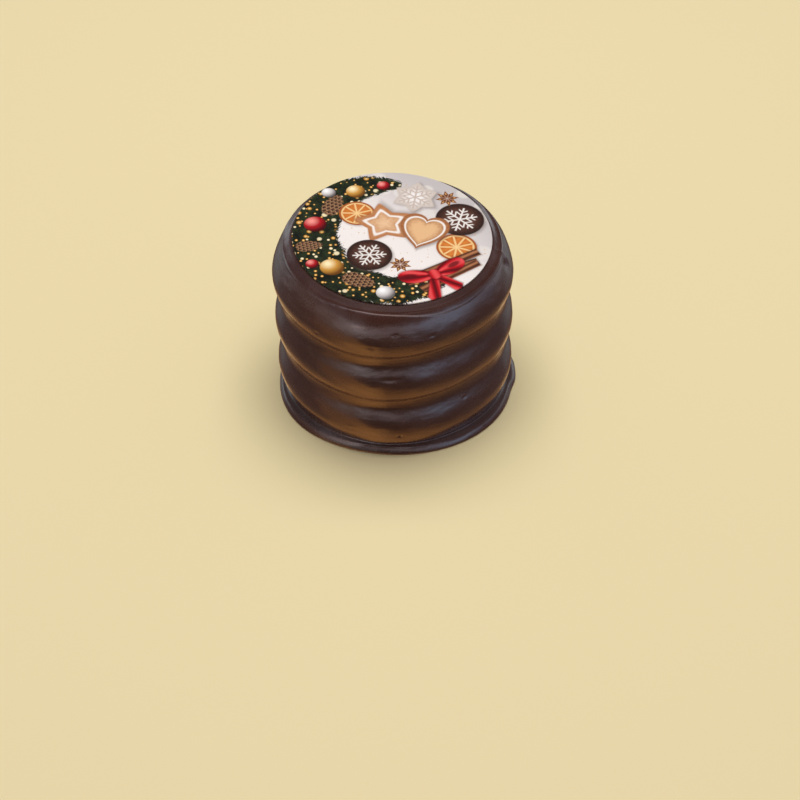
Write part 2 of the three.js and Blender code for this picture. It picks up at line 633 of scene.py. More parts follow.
@dataclass(frozen=True)
class Garland:
    """A garland of fir along part of a circle, with small gold and white lights in it.

    Sprigs are given by their size and a shift, and lights by their distance, radius and blur.
    """

    radius: float = 39.5
    half_width: float = 13.0
    middle: float = 197.0
    half_span: float = 114.0
    fine_sprigs: tuple[float, float] = (5.2, 0.0)
    coarse_sprigs: tuple[float, float] = (8.0, 31.0)
    needle_reach: float = 2.6
    lump_size: float = 9.0
    lump_reach: float = 2.2
    small_lights: tuple[float, float, float] = (3.3, 0.85, 0.2)
    large_lights: tuple[float, float, float] = (6.5, 1.5, 0.35)
    lights_inside: float = 1.5
    lights_missing: float = 0.25
    lights_gold: float = 0.78
    dark: tuple = srgb(15, 20, 14)
    green: tuple = srgb(46, 58, 32)
    tip: tuple = srgb(104, 112, 72)
    ember: tuple = srgb(150, 92, 26)
    gold: tuple = srgb(246, 186, 84)
    glow: tuple = srgb(255, 240, 196)

    def needles(self, drawing: Drawing, size: float, offset: float) -> tuple[Value, Value]:
        """Fine strokes that lie one way in each sprig.

        Args:
            drawing: What it is painted on.
            size: How far apart the sprigs are, in millimetres.
            offset: A shift that gives another set of sprigs.

        Returns:
            The strokes, from about -1 to 1, and how far a point is from the middle of its sprig.
        """
        away, turn, _, other = drawing.cells(size, offset)
        across = drawing.cosine(turn * 2 * math.pi)
        along = drawing.sine(turn * 2 * math.pi)
        near = drawing.x * across + drawing.y * along
        beside = drawing.y * across - drawing.x * along
        strokes = drawing.vector(near * 0.28, beside * 2.0, other * 20)
        return drawing.noise(strokes, 1.0, 1.5), away

    def lights(self, drawing: Drawing, cell: float, radius: float, blur: float, share: Value) -> None:
        """Paints round lights.

        Args:
            drawing: What it is painted on.
            cell: How far apart the lights are, in millimetres.
            radius: The radius of the largest, in millimetres.
            blur: How soft their edges are.
            share: Where they are allowed.
        """
        away, size, chance, hue = drawing.cells(cell, cell * 7)
        reach = size * (radius * 0.5) + radius * 0.5
        lit = drawing.inside(away - reach, blur) * (chance > self.lights_missing) * share
        warm = drawing.ramp(away / reach, (0.0, self.glow), (0.5, self.gold), (1.0, self.ember))
        drawing.paint(drawing.mix((hue > self.lights_gold) * 0.9, warm, self.glow), lit)

    def paint(self, drawing: Drawing) -> None:
        """Paints the garland.

        Args:
            drawing: What it is painted on.
        """
        x, y = drawing.at(Spot(0, 0, 1, self.middle))
        share = abs(drawing.math("ARCTAN2", y, x)) / math.radians(self.half_span)
        taper = drawing.root(drawing.most(1.0 - share * share, 0.0))
        fine, away = self.needles(drawing, *self.fine_sprigs)
        coarse, _ = self.needles(drawing, *self.coarse_sprigs)
        lumps = drawing.noise(drawing.place, self.lump_size, 1)
        offset = abs(drawing.reach(x, y) - self.radius)
        ragged = lumps * self.lump_reach + fine * self.needle_reach
        edge = offset - taper * self.half_width + ragged + (share > 1.0) * 20
        tone = drawing.clamp(0.4 + fine * 0.42 + coarse * 0.3 + lumps * 0.25 - away * 0.06)
        fir = drawing.ramp(tone, (0.1, self.dark), (0.55, self.green), (0.95, self.tip))
        drawing.paint(fir, drawing.inside(edge, 0.5))
        within = drawing.inside(edge + self.lights_inside, 0.8)
        self.lights(drawing, *self.small_lights, within)
        self.lights(drawing, *self.large_lights, within * 0.85)


@dataclass(frozen=True)
class Bauble:
    """A glossy ball with a small highlight."""

    spot: Spot
    dark: tuple
    body: tuple
    light: tuple
    lit_from: tuple[float, float] = (-0.35, 0.4)
    shaded_to: tuple[float, float] = (0.1, -0.14)

    def paint(self, drawing: Drawing) -> None:
        """Paints the ball.

        Args:
            drawing: What it is painted on.
        """
        x, y = drawing.at(self.spot)
        toward = drawing.reach(x - self.lit_from[0], y - self.lit_from[1])
        tone = drawing.clamp(1.0 - toward * 0.72)
        ball = drawing.ramp(tone, (0.05, self.dark), (0.45, self.body), (0.9, self.light))
        under = drawing.reach(x - self.shaded_to[0], y - self.shaded_to[1]) - 1.02
        drawing.paint(Garland.dark, drawing.inside(under, 0.16) * 0.6)
        drawing.paint(ball, drawing.inside(drawing.reach(x, y) - 1.0, 0.05))


@dataclass(frozen=True)
class FirCone:
    """A brown fir cone with rows of rounded scales."""

    spot: Spot
    dark: tuple = srgb(38, 24, 19)
    scale: tuple = srgb(98, 64, 44)
    lip: tuple = srgb(170, 130, 94)
    slimness: float = 1.75
    taper: float = 0.35
    rows: float = 3.6
    columns: float = 2.2

    def paint(self, drawing: Drawing) -> None:
        """Paints the cone.

        Args:
            drawing: What it is painted on.
        """
        x, y = drawing.at(self.spot)
        narrow = y * (self.slimness + self.taper * x)
        along, across = x * self.rows, narrow * self.columns
        row = drawing.math("ROUND", along)
        across = across + row * 0.5
        lip = drawing.reach(along - row + 0.4, (across - drawing.math("ROUND", across)) * 1.4)
        scales = drawing.ramp(lip, (0.35, self.scale), (0.66, self.lip), (0.84, self.dark))
        drawing.paint(scales, drawing.inside(drawing.reach(x, narrow) - 1.0, 0.08))


class Outline(Enum):
    """Outlines that biscuits are cut to."""

    STAR = "star"
    HEART = "heart"
    ROUND = "round"
    FLAKE = "flake"


@dataclass(frozen=True)
class Biscuit:
    """A baked biscuit, browner towards its edge, with icing.

    A star or a flake is given by its tips and its valleys' place, and twigs by place and length.
    """

    spot: Spot
    outline: Outline
    crumb: tuple = srgb(232, 186, 136)
    crust: tuple = srgb(160, 98, 56)
    icing: tuple = srgb(250, 244, 236)
    icing_place: float = 0.17
    icing_width: float = 0.035
    star: tuple[int, float] = (5, 0.56)
    flake: tuple[int, float] = (6, 0.66)
    frost_arms: int = 6
    frost_reach: float = 0.68
    twigs: tuple[tuple[float, float], ...] = ((0.26, 0.2), (0.46, 0.14))

    @staticmethod
    def pointed(drawing: Drawing, x: Value, y: Value, tips: int, valley: float) -> Value:
        """Distance past the outline of a star.

        Args:
            drawing: What it is painted on.
            x: A coordinate in the biscuit's own frame.
            y: The other one.
            tips: How many tips the star has.
            valley: How far its valleys are from its middle.

        Returns:
            The distance, below 0 inside the star.
        """
        along, beside = drawing.fold(x, y, tips)
        blunt = drawing.root(beside * beside + 0.003)
        across = valley * math.sin(math.pi / tips)
        down = 1 - valley * math.cos(math.pi / tips)
        return ((along - 1.0) * across + blunt * down) / math.hypot(across, down)

    def edge(self, drawing: Drawing, x: Value, y: Value) -> Value:
        """Distance past the biscuit's outline, about true near it.

        Args:
            drawing: What it is painted on.
            x: A coordinate in the biscuit's own frame.
            y: The other one.

        Returns:
            The distance, below 0 inside the biscuit.
        """
        if self.outline is Outline.HEART:
            side = drawing.root(abs(x) + 0.01)
            return drawing.reach(x * 1.05, y * 1.12 - side * 0.66 + 0.22) - 0.88
        if self.outline is Outline.STAR:
            return self.pointed(drawing, x, y, *self.star)
        if self.outline is Outline.FLAKE:
            return self.pointed(drawing, x, y, *self.flake)
        return drawing.reach(x, y) - 0.97

    def frost(self, drawing: Drawing, x: Value, y: Value) -> Value:
        """Distance past the lines of a frost star, whose arms have twigs.

        Args:
            drawing: What it is painted on.
            x: A coordinate in the biscuit's own frame.
            y: The other one.

        Returns:
            The distance, below 0 inside the lines.
        """
        along, beside = drawing.fold(x, y, self.frost_arms)
        arm = drawing.most(beside, along - self.frost_reach)
        for start, length in self.twigs:
            twig = abs(along - start - beside * 0.7)
            arm = drawing.least(arm, drawing.most(twig, beside - length))
        return arm - self.icing_width

    def paint(self, drawing: Drawing) -> None:
        """Paints the biscuit with its shadow.

        Args:
            drawing: What it is painted on.
        """
        x, y = drawing.at(self.spot)
        past = self.edge(drawing, x, y)
        drawing.shadow(self.edge(drawing, x - 0.05, y + 0.09), 0.6)
        crumbs = drawing.noise(drawing.place, 1.6, 2)
        baked = drawing.smooth(past + crumbs * 0.14, -0.55, 0.02)
        drawing.paint(drawing.mix(baked, self.crumb, self.crust), drawing.inside(past, 0.03))
        if self.outline in (Outline.STAR, Outline.HEART):
            line = abs(past + self.icing_place) - self.icing_width
        else:
            line = self.frost(drawing, x, y)
        drawing.paint(self.icing, drawing.inside(line, 0.025) * 0.92)


@dataclass(frozen=True)
class OrangeSlice:
    """A dried slice of orange, with its rind and the walls between its segments."""

    spot: Spot
    segments: int = 9
    pith: Limits = (0.84, 0.92)
    pulp_radius: float = 0.78
    half_wall: float = 0.05
    rind: tuple = srgb(168, 88, 34)
    wall: tuple = srgb(246, 206, 142)
    flesh: tuple = srgb(226, 138, 60)
    deep: tuple = srgb(176, 84, 28)

    def paint(self, drawing: Drawing) -> None:
        """Paints the slice with its shadow.

        Args:
            drawing: What it is painted on.
        """
        x, y = drawing.at(self.spot)
        away = drawing.reach(x, y)
        drawing.shadow(drawing.reach(x - 0.05, y + 0.09) - 1.0, 0.55)
        peel = drawing.mix(drawing.smooth(away, *self.pith), self.wall, self.rind)
        drawing.paint(peel, drawing.inside(away - 1.0, 0.03))
        along, beside = drawing.fold(x, y, self.segments)
        side = beside - along * math.tan(math.pi / self.segments) + self.half_wall
        edge = drawing.most(along - self.pulp_radius, side)
        grain = drawing.noise(drawing.vector(along * 2, beside * 9, self.spot.x), 1.0, 2)
        pulp = drawing.mix(drawing.clamp(0.45 + grain * 0.6), self.flesh, self.deep)
        drawing.paint(pulp, drawing.inside(edge, 0.04))


@dataclass(frozen=True)
class StarAnise:
    """A star of anise, whose pods each hold a seed."""

    spot: Spot
    pods: int = 8
    pod_place: float = 0.52
    seed_place: float = 0.6
    seed_radius: float = 0.12
    pod: tuple = srgb(92, 52, 32)
    lip: tuple = srgb(150, 96, 60)
    seed: tuple = srgb(214, 158, 96)

    def paint(self, drawing: Drawing) -> None:
        """Paints the star.

        Args:
            drawing: What it is painted on.
        """
        x, y = drawing.at(self.spot)
        along, beside = drawing.fold(x, y, self.pods)
        pod = beside * 4.4 + abs(along - self.pod_place) * 1.9 - 0.92
        husk = drawing.mix(drawing.smooth(pod, -0.6, 0.0), self.pod, self.lip)
        drawing.paint(husk, drawing.inside(pod, 0.1))
        seed = drawing.reach(along - self.seed_place, beside * 1.9) - self.seed_radius
        drawing.paint(self.seed, drawing.inside(seed, 0.04))


@dataclass(frozen=True)
class CinnamonStick:
    """A rolled cinnamon stick, seen from the side."""

    spot: Spot
    half_width: float = 0.13
    dark: tuple = srgb(56, 31, 21)
    bark: tuple = srgb(128, 76, 48)
    light: tuple = srgb(186, 128, 86)

    def paint(self, drawing: Drawing) -> None:
        """Paints the stick.

        Args:
            drawing: What it is painted on.
        """
        x, y = drawing.at(self.spot)
        side = y / self.half_width
        edge = drawing.most(abs(x) - 1.0, abs(y) - self.half_width)
        grain = drawing.noise(drawing.vector(x * 3, side * 1.6, self.spot.x), 1.0, 2)
        rolled = drawing.sine(side * 4.4 + 0.5)
        tone = drawing.clamp(0.5 + 0.34 * rolled + 0.22 * grain)
        bark = drawing.ramp(tone, (0.1, self.dark), (0.5, self.bark), (0.95, self.light))
        drawing.paint(self.dark, drawing.inside(edge - 0.02, 0.06) * 0.5)
        drawing.paint(bark, drawing.inside(edge, 0.02))


@dataclass(frozen=True)
class Bow:
    """A satin ribbon tied in a bow, with two tails, each given by its turn and its length."""

    spot: Spot
    dark: tuple = srgb(96, 6, 14)
    satin: tuple = srgb(196, 18, 30)
    light: tuple = srgb(238, 84, 84)
    tails: tuple[tuple[float, float], ...] = ((-24.0, 1.15), (30.0, 1.0))
    loop: float = 1.02
    loop_height: float = 0.56
    tilt: float = 0.22
    hollow_place: float = 0.68
    hollow_radius: float = 0.22
    knot_radius: float = 0.17
    tail_pleats: float = 17.0
    loop_pleats: float = 9.0
    knot_pleats: float = 13.0

    def ribbon(self, drawing: Drawing, folds: Value, edge: Value) -> None:
        """Paints one stretch of ribbon.

        Args:
            drawing: What it is painted on.
            folds: The folds, from -1 to 1.
            edge: The distance past the outline.
        """
        tone = drawing.clamp(0.5 + 0.42 * folds)
        satin = drawing.ramp(tone, (0.08, self.dark), (0.5, self.satin), (0.98, self.light))
        drawing.paint(self.dark, drawing.inside(edge - 0.03, 0.05) * 0.7)
        drawing.paint(satin, drawing.inside(edge, 0.03))

    def paint(self, drawing: Drawing) -> None:
        """Paints the tails, the two loops and the knot.

        Args:
            drawing: What it is painted on.
        """
        x, y = drawing.at(self.spot)
        for turn, length in self.tails:
            spot = Spot(self.spot.x, self.spot.y, self.spot.size, self.spot.turn + turn)
            side, down = drawing.at(spot)
            half = 0.1 - down * 0.09
            cut = -down - length + abs(side) * 0.9
            edge = drawing.most(abs(side) - half, cut, down)
            self.ribbon(drawing, drawing.sine(side * self.tail_pleats + down * 3), edge)
        out = abs(x)
        rise = y - out * self.tilt
        swell = drawing.most(out, 0.001) ** 0.62
        close = drawing.most(self.loop - out, 0.0) ** 0.45
        edge = drawing.most(abs(rise) - swell * close * self.loop_height, out - self.loop)
        fan = drawing.math("ARCTAN2", rise, out + 0.05)
        self.ribbon(drawing, drawing.sine(fan * self.loop_pleats + x * 1.5), edge)
        hollow = drawing.reach((out - self.hollow_place) * 1.1, (rise - 0.03) * 2.5)
        hollow = hollow - self.hollow_radius
        drawing.paint(self.dark, drawing.inside(hollow, 0.08) * 0.85)
        knot = drawing.reach(x, y * 0.85) - self.knot_radius
        self.ribbon(drawing, drawing.sine(x * self.knot_pleats + 1.2), knot)


@dataclass(frozen=True)
class PrintedSugar:
    """Matt sugar paste with a picture printed on it in food colours."""

    middle: Vector
    roughness: float = 0.55
    grain_size: float = 0.5
    bump_strength: float = 0.2
    bump_depth: float = 0.05 * MM
    print_edge: Limits = (-0.6, -0.3)
    bare: tuple = srgb(240, 234, 230)
    ground: Ground = Ground()
    garland: Garland = Garland()
    gold: tuple = (srgb(110, 66, 18), srgb(206, 148, 62), srgb(255, 236, 184))
    red: tuple = (srgb(70, 4, 10), srgb(176, 16, 28), srgb(250, 150, 140))
    silver: tuple = (srgb(104, 98, 96), srgb(206, 200, 196), srgb(255, 253, 250))
    chocolate: tuple = (srgb(92, 58, 44), srgb(48, 29, 24))
    white: tuple = (srgb(248, 243, 238), srgb(206, 192, 180), srgb(196, 178, 164))
    honey: tuple = (srgb(240, 200, 156), srgb(184, 120, 74))

    def motifs(self) -> tuple[Motif, ...]:
        """All that lies on the ground and the garland.

        Returns:
            The motifs, from the lowest up.
        """
        return (
            FirCone(Spot(-29.5, 22.5, 8.2, 70)),
            FirCone(Spot(-16.0, -33.0, 8.2, -20)),
            FirCone(Spot(-40.5, -9.0, 6.6, 10)),
            Bauble(Spot(-38.0, 7.5, 5.6), *self.red),
            Bauble(Spot(-29.0, -24.0, 5.8), *self.gold),
            Bauble(Spot(-18.5, 33.5, 4.8), *self.gold),
            Bauble(Spot(-3.0, -41.5, 4.6), *self.silver),
            Bauble(Spot(-32.0, 32.0, 3.6), *self.silver),
            Bauble(Spot(-4.5, 38.5, 3.4), *self.red),
            Bauble(Spot(-38.5, -22.0, 3.2), *self.red),
            OrangeSlice(Spot(-17.5, 16.5, 9.0)),
            OrangeSlice(Spot(31.5, -7.5, 10.0)),
            Biscuit(Spot(11.5, 30.0, 12.5, 22), Outline.FLAKE, *self.white),
            Biscuit(Spot(-4.0, 9.5, 16.5, 100), Outline.STAR, *self.honey),
            Biscuit(Spot(33.5, 13.5, 12.5, 15), Outline.ROUND, *self.chocolate),
            Biscuit(Spot(-11.0, -14.5, 11.5, 5), Outline.ROUND, *self.chocolate),
            Biscuit(Spot(15.0, 3.5, 14.5, -16), Outline.HEART),
            StarAnise(Spot(27.5, 29.5, 6.0, 10)),
            StarAnise(Spot(4.0, -21.0, 5.6, 30)),
            CinnamonStick(Spot(26.0, -20.5, 19.0, 32)),
            CinnamonStick(Spot(24.5, -25.5, 19.0, 25)),
            CinnamonStick(Spot(28.0, -28.5, 17.0, 36)),
            Bow(Spot(20.5, -27.5, 17.0, 24)),
        )

    def material(self) -> bpy.types.Material:
        """Builds the material.

        Returns:
            The material, with the print on the top and the edge, and bare paste below.
        """
        made, shader = new_material("printed_sugar_paste")
        graph = Graph(made.node_tree)
        x, y, _ = graph.parts(graph.node("ShaderNodeTexCoord", output="Object"))
        x, y = (x - self.middle.x) / MM, (y - self.middle.y) / MM
        drawing = Drawing(graph.tree, x, y, self.bare)
        for motif in (self.ground, self.garland, *self.motifs()):
            drawing.add(motif)
        grain = drawing.noise(drawing.place, self.grain_size, 2)
        _, _, up = drawing.parts(drawing.node("ShaderNodeNewGeometry", output="Normal"))
        colour = drawing.mix(drawing.smooth(up, *self.print_edge), self.bare, drawing.colour)
        roughness = self.roughness + 0.05 * grain
        bump = drawing.bump(grain, self.bump_strength, self.bump_depth)
        drawing.feed(shader, {"Base Color": colour, "Roughness": roughness, "Normal": bump})
        return made


# ---------------------------------------------------------------------------------------------------
# The coated cake.


@dataclass(frozen=True)
class Wave:
    """A wave round the cake: its depth, its lobes, where they start, and their turn with height."""

    depth: float
    lobes: int
    phase: float
    twist: float = 0.0

    def at(self, graph: Graph, azimuth: Value, height: Value) -> Value:
        """How far the wave stands out at a place."""
        turn = azimuth * self.lobes + self.phase + height * self.twist
        return graph.sine(turn) * self.depth


@dataclass(frozen=True)
class Mark:
    """A nub, a dent or a patch of the coating, in degrees round the cake and in millimetres."""

    azimuth: float
    height: float
    across: float
    tall: float
    depth: float

    def at(self, graph: Graph, azimuth: Value, height: Value, radius: float) -> Value:
        """Finds how deep the mark is at a place.

        Args:
            graph: The tree that is being made.
            azimuth: Where the place is, round the cake.
            height: Its height.
            radius: How far the coating is from the axis there.

        Returns:
            The depth, in the unit of the mark's own depth, and below 0 in a dent.
        """
        along = (azimuth - math.radians(self.azimuth)) * (radius / (self.across * MM))
        above = (height - self.height * MM) / (self.tall * MM)
        return graph.math("EXPONENT", -(along * along + above * above)) * self.depth


@dataclass(frozen=True)
class Unevenness:
    """How far the cake is from a turned body: it swells, it leans, and its top slopes."""

    swells: tuple[Wave, ...] = (
        Wave(0.14 * MM, 1, 4.08, 0.0054 / MM),
        Wave(0.84 * MM, 2, 0.26, -0.0028 / MM),
        Wave(0.61 * MM, 3, -0.49, 0.0121 / MM),
        Wave(0.33 * MM, 4, 3.42, -0.0036 / MM),
        Wave(0.47 * MM, 5, 2.81, 0.0127 / MM),
    )
    foot_waves: tuple[Wave, ...] = (
        Wave(0.26 * MM, 1, 0.58),
        Wave(1.22 * MM, 2, 1.84),
        Wave(1.15 * MM, 4, 5.01),
    )
    drip_azimuth: float = 0.06
    drip_spread: float = 0.2
    drip_depth: float = 2.2 * MM
    drip_height: float = 2.4 * MM
    lean: float = -0.021
    slope_x: float = -0.028
    slope_y: float = 0.0445
    slope_margin: float = 8 * MM


@dataclass(frozen=True)
class Place:
    """Where a point of the coating is, with the soft noise that its lines wander by."""

    point: Value
    azimuth: Value
    reach: Value
    height: Value
    wander: Value


@dataclass
class CoatedCake:
    """The cake with its foot, as one body turned from an outline and then made uneven.

    Lumps are given by their flatness, their size and their depth, from the largest down.
    """

    core_radius: float = 56.9 * MM
    ring_count: int = 3
    ring_radius: float = 60 * MM
    ring_pitch: float = 27.75 * MM
    first_ring_height: float = 18.5 * MM
    bulge_radius: float = 17.0 * MM
    groove_softness: float = 3.3 * MM
    foot_lip: float = 3.5 * MM
    foot_fade: float = 8.2 * MM
    skirt_height: float = 1.5 * MM
    skirt_slope: float = 0.39
    skirt_softness: float = 0.9 * MM
    lip_growth: float = 1.12
    base_height: float = 0.6 * MM
    base_radius: float = 60.0 * MM
    rim_radius: float = 53.7 * MM
    rim_height: float = 89.7 * MM
    rise_power: float = 1.43
    inset_power: float = 1.65
    crease_radius: float = 52.2 * MM
    crease_height: float = 90.1 * MM
    flat_radius: float = 49.8 * MM
    top_height: float = 92.3 * MM
    rim_softness: float = 0.9 * MM
    smooth_radius: float = 49.2 * MM
    relief_start: Limits = (49.5 * MM, 52 * MM)
    relief_bottom: Limits = (0.2 * MM, 2 * MM)
    azimuth_steps: int = 360
    curl_rows: int = 5
    side_rows: int = 150
    shoulder_rows: int = 76
    rim_rows: int = 20
    lumps: tuple[tuple[float, float, float], ...] = (
        (1.5, 30 * MM, 0.2 * MM),
        (1.2, 13 * MM, 0.2 * MM),
        (2.2, 5 * MM, 0.05 * MM),
    )
    wander_size: float = 25 * MM
    wander_flatness: float = 0.2
    crease_rise: float = 4.0 * MM
    crease_depth: float = 0.38 * MM
    crease_width: float = 1.7 * MM
    crease_wander: float = 0.5 * MM
    seam_height: float = 5.6 * MM
    seam_depth: float = 0.5 * MM
    ledge_radius: float = 55.0 * MM
    ledge_depth: float = 0.23 * MM
    ledge_width: float = 0.7 * MM
    ledge_wander: float = 0.4 * MM
    ledge_fade: Limits = (-120.0, -92.0)
    ledge_left: float = 0.7
    # A painted highlight line along the front of the rim's ledge.
    highlight_line_width: float = 0.315 * MM
    highlight_line_azimuth: float = -93.0
    highlight_line_spread: float = 0.55
    highlight_line_strength: float = 3.2
    uneven: Unevenness = Unevenness()
    marks: tuple[Mark, ...] = (
        Mark(-88.1, 14.4, 0.9, 0.8, -0.8),
        Mark(-52.5, 26.9, 0.8, 0.7, -0.4),
        Mark(-92.2, 51.8, 3.4, 1.2, -0.3),
        Mark(-88.6, 79.9, 0.8, 0.7, -0.4),
        Mark(-71.1, 76.4, 0.8, 0.7, -0.25),
        Mark(-65.6, 73.9, 0.9, 0.7, -0.25),
        Mark(-127.4, 71.9, 0.9, 0.8, -0.5),
        Mark(-100.8, 71.8, 1.6, 1.2, 0.3),
        Mark(-111.9, 18.0, 3.0, 1.0, 0.3),
        Mark(-42.4, 4.0, 1.5, 0.9, 0.25),
        Mark(-7.6, 85.6, 1.1, 3.4, 0.8),
        Mark(-11.2, 84.2, 2.2, 2.4, -1.1),
    )
    # Patches of greyish bloom with painted sheen on both sides of the shoulder, and painted highlights on
    # the top ring's front left and on the foot's front left.
    haze_and_highlight_patches: tuple[Mark, ...] = (
        Mark(-170, 88, 9, 6, 1.0),
        Mark(-154, 86, 12, 6, 0.8),
        Mark(-128, 84, 16, 4, 0.5),
        Mark(3, 86, 9, 7, 1.0),
        Mark(-24, 83, 12, 6, 0.6),
        Mark(-106, 83, 9, 2.2, 2.1),
        Mark(-116, 4, 22, 3, 2.2),
    )

    @property
    def top_ring_height(self) -> float:
        """Height of the widest level of the top ring."""
        return self.first_ring_height + (self.ring_count - 1) * self.ring_pitch

    def axis_foot(self) -> Vector:
        """Finds where the cake's axis meets the ground.

        Returns:
            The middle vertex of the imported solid's base.
        """
        base = [v.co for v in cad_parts["cake"].data.vertices if v.co.z < TINY]
        middle = sum(base, Vector()) / len(base)
        return min(base, key=lambda co: (co - middle).length).copy()

    @staticmethod
    def soft_maximum(graph: Graph, first: Value, second: Amount, softness: float) -> Value:
        """The larger of two values, with a rounded valley where they are close.

        Args:
            graph: The tree that is being made.
            first: One value.
            second: The other one.
            softness: How close they are where the valley begins.

        Returns:
            The larger value, and a little more in the valley.
        """
        closeness = graph.most(softness - abs(first - second), 0.0) / softness
        return graph.most(first, second) + closeness * closeness * softness / 4

    @staticmethod
    def half_round(graph: Graph, offset: Value, radius: Amount) -> Value:
        """How far a half-round form stands out, at an offset from its middle."""
        reach = radius * radius - offset * offset
        return graph.root(graph.most(reach, 0.0))

    def side_radius(self, rule: GeometryRule, height: Value, sizes: dict[str, Value]) -> Value:
        """Radius of the side at a height, from the foot up to the widest level of the top ring.

        Args:
            rule: The tree that is being made.
            height: The height above the ground.
            sizes: The tree's named sizes.

        Returns:
            The radius of the side before it is made uneven.
        """
        above = height - sizes["First ring height"]
        nearest = rule.math("ROUND", above / sizes["Ring pitch"])
        ring = rule.least(rule.most(nearest, 0.0), float(self.ring_count - 1))
        curve = sizes["Bulge radius"]
        standing = self.half_round(rule, above - ring * sizes["Ring pitch"], curve)
        lip = self.half_round(rule, height - self.skirt_height, sizes["Foot lip"] * self.lip_growth)
        skirt = (self.skirt_height - height) * self.skirt_slope + sizes["Foot lip"]
        foot = -self.soft_maximum(rule, -lip, -skirt, self.skirt_softness)
        core = rule.most(foot, 0.0) + sizes["Core radius"]
        bulge = sizes["Ring radius"] - curve + standing
        return self.soft_maximum(rule, bulge, core, self.groove_softness)

    def outline(self, rule: GeometryRule, row: Value, sizes: dict[str, Value]) -> tuple[Value, Value]:
        """Radius and height of a row of the outline, from the middle of the base to that of the top.

        Args:
            rule: The tree that is being made.
            row: The row, counted from the middle of the base.
            sizes: The tree's named sizes.

        Returns:
            The radius and the height.
        """
        starts = np.cumsum([1, self.curl_rows, self.side_rows, self.shoulder_rows, self.rim_rows])
        curl, side, shoulder, rim = (
            rule.clamp((row - float(start)) / float(end - start)) for start, end in zip(starts, starts[1:])
        )
        low = self.base_height
        height = side * (self.top_ring_height - low) + low
        radius = self.side_radius(rule, height, sizes)
        inset = rule.cosine(curl * (math.pi / 2))
        radius = radius - inset * (radius - self.base_radius)
        height = height - low * (1.0 - rule.sine(curl * (math.pi / 2)))
        turn = shoulder * (math.pi / 2)
        drawn_in = rule.most(rule.cosine(turn), 0.0) ** self.inset_power
        risen = rule.most(rule.sine(turn), 0.0) ** self.rise_power
        radius = self.rim_radius + (radius - self.rim_radius) * drawn_in
        height = height + (self.rim_height - self.top_ring_height) * risen
        inward = rim * (self.rim_radius - self.flat_radius + self.rim_softness)
        rim_width = self.rim_radius - self.crease_radius
        ledge = self.rim_height + inward * ((self.crease_height - self.rim_height) / rim_width)
        rise = (self.top_height - self.crease_height) / (self.crease_radius - self.flat_radius)
        slope = (inward - rim_width) * rise + self.crease_height
        raised = self.soft_maximum(rule, ledge, slope, self.rim_softness)
        capped = -self.soft_maximum(rule, -raised, -self.top_height, self.rim_softness)
        height = rule.where(row > float(starts[3]), capped, height)
        radius = radius - inward
        centre = row > float(starts[4]) + 0.5
        return rule.where(row > 0.5, rule.where(centre, 0.0, radius), 0.0), height

    def swelling(self, rule: GeometryRule, azimuth: Value, height: Value) -> Value:
        """How far the coating stands out: swells all over, and waves and a drip at the foot.

        Args:
            rule: The tree that is being made.
            azimuth: Where the coating is, round the cake.
            height: Its height.

        Returns:
            The distance past the turned body.
        """
        uneven = self.uneven
        swells = sum((wave.at(rule, azimuth, height) for wave in uneven.swells), 0.0)
        waves = sum((wave.at(rule, azimuth, height) for wave in uneven.foot_waves), 0.0)
        at_foot = 1.0 - rule.smooth(height, self.foot_lip, self.foot_fade)
        aside = ((azimuth - uneven.drip_azimuth) / uneven.drip_spread) ** 4.0
        at_drip = rule.math("EXPONENT", -aside)
        low = rule.bell(height - uneven.drip_height, self.foot_lip)
        return swells + at_foot * waves + at_drip * low * uneven.drip_depth

    def relief(self, rule: GeometryRule, place: Place) -> Value:
        """How far the set coating stands out of that form: soft lumps, creases and marks.

        A fine crease runs round above each groove, where a ring's coating met the next one's, and above
        the foot. Inside the rim the coating is a little thicker, and ends in a low ledge.

        Args:
            rule: The tree that is being made.
            place: Where the coating is.

        Returns:
            The distance, below 0 where the coating is lower.
        """
        relief = 0.0
        for flatness, size, depth in self.lumps:
            relief = relief + rule.noise(rule.stretched(place.point, 1, 1, flatness), size, 1) * depth
        for mark in self.marks:
            relief = relief + mark.at(rule, place.azimuth, place.height, self.ring_radius) * MM
        fade = rule.smooth(place.azimuth, *(math.radians(end) for end in self.ledge_fade))
        ledge = rule.smooth(self.past_ledge(place), 0.0, self.ledge_width)
        ledge = ledge * (self.ledge_left + (1 - self.ledge_left) * fade) * self.ledge_depth
        ledge = ledge * (place.height > self.top_ring_height)
        level = place.height + place.wander * self.crease_wander
        creases = rule.bell(level - self.seam_height, self.crease_width) * self.seam_depth
        for ring in range(1, self.ring_count):
            groove = self.first_ring_height + (ring - 0.5) * self.ring_pitch
            crease = rule.bell(level - (groove + self.crease_rise), self.crease_width)
            creases = creases + crease * self.crease_depth
        return relief + ledge - rule.clamp(0.75 + place.wander * 0.9) * creases

    def past_ledge(self, place: Place) -> Value:
        """How far inside the foot of the rim's ledge a place is."""
        return self.ledge_radius + place.wander * self.ledge_wander - place.reach

    def haze_and_highlight(self, rule: GeometryRule, place: Place) -> Value:
        """How much greyish bloom and painted highlight the coating gets: bloom with painted sheen in
        patches, painted highlights on the top ring and the foot, and a painted highlight line along the
        front of the ledge.

        Args:
            rule: The tree that is being made.
            place: Where the coating is.

        Returns:
            The amount of bloom and painted highlight, which the finish reads.
        """
        # Painted highlight: a thin line along the front of the ledge.
        middle = self.past_ledge(place) - self.ledge_width / 2
        line = rule.bell(middle, self.highlight_line_width) * (place.height > self.top_ring_height)
        front = rule.bell(place.azimuth - math.radians(self.highlight_line_azimuth), self.highlight_line_spread)
        haze_and_highlight = line * front * self.highlight_line_strength
        for patch in self.haze_and_highlight_patches:
            haze_and_highlight = haze_and_highlight + patch.at(rule, place.azimuth, place.height, self.rim_radius)
        return haze_and_highlight

